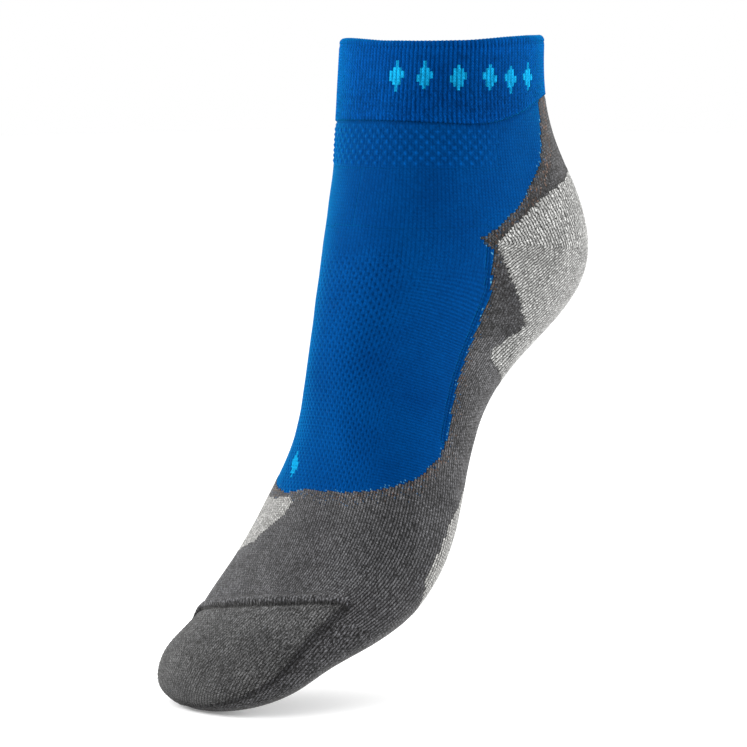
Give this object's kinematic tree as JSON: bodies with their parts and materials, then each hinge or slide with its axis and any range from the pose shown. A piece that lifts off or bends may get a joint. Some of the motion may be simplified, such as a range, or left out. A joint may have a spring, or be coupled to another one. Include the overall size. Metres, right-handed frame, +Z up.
{
  "type": "sports sock",
  "caption": "Low-cut knitted sports sock with a ribbed cuff, ventilated instep, light terry heel and ball pads, and a grey toe.",
  "frame": {"origin": "on the leg's axis, in the plane of the leg opening", "axes": "+X towards the toes, +Y towards the outer ankle, +Z up the leg"},
  "size_m": [0.1728, 0.0853, 0.2225],
  "materials": {
    "cuff_rib": "knitted, matt",
    "elastic": "knitted, matt",
    "mark_yarn": "knitted, matt",
    "blue_mesh": "knitted, matt",
    "blue_plain": "knitted, matt",
    "light_terry": "knitted, matt",
    "grey_melange": "knitted, matt"
  },
  "bodies": {
    "leg": {"cuff_outer_layer": "cuff_rib", "cuff_inner_layer": "cuff_rib", "cuff_elastic_threads": "elastic", "cuff_turning_seam": "blue_plain", "cuff_motif": "mark_yarn", "ankle_mesh_band": "blue_mesh", "ankle_side_outer": "blue_plain", "ankle_side_inner": "blue_plain", "achilles_strip": "grey_melange"},
    "foot": {"ankle_flex_band": "blue_plain", "ankle_flex_mesh": "blue_mesh", "ankle_flex_outer": "blue_plain", "ankle_flex_inner": "blue_plain", "instep_mesh_panel": "blue_mesh", "size_mark": "mark_yarn", "side_panel_outer": "blue_plain", "side_panel_inner": "blue_plain", "panel_edge_outer": "blue_plain", "panel_edge_inner": "blue_plain", "side_guard_outer": "grey_melange", "side_guard_inner": "grey_melange", "heel_upper": "light_terry", "heel_lower": "light_terry", "heel_gore_outer": "light_terry", "heel_gore_inner": "light_terry", "arch_band": "grey_melange", "forefoot_top": "grey_melange", "forefoot_sole": "grey_melange", "ball_pad_inner": "light_terry", "ball_pad_outer": "light_terry", "ball_pad_sole": "light_terry", "toe_flex_top": "grey_melange", "toe_flex_sole": "grey_melange"},
    "toe": {"toe_box_top": "grey_melange", "toe_box_sole": "grey_melange", "toe_seam": "grey_melange", "toe_gore_outer": "grey_melange", "toe_gore_inner": "grey_melange", "toe_cap_top": "grey_melange", "toe_cap_bottom": "grey_melange"}
  },
  "joints": [
    {"name": "ankle_flex", "type": "hinge", "parent": "leg", "child": "foot", "pos_m": [0.008, 0, -0.062], "axis": [0, -1, 0], "range_deg": [0, 60], "stiffness_Nm_per_rad": 0.05, "deforming": ["ankle_flex_band", "ankle_flex_mesh", "ankle_flex_outer", "ankle_flex_inner"]},
    {"name": "toe_flex", "type": "hinge", "parent": "foot", "child": "toe", "pos_m": [0.056, 0, -0.176], "axis": [0, -1, 0], "range_deg": [-25, 30], "stiffness_Nm_per_rad": 0.08, "deforming": ["toe_flex_top", "toe_flex_sole", "ball_pad_inner", "ball_pad_outer", "ball_pad_sole"]}
  ]
}
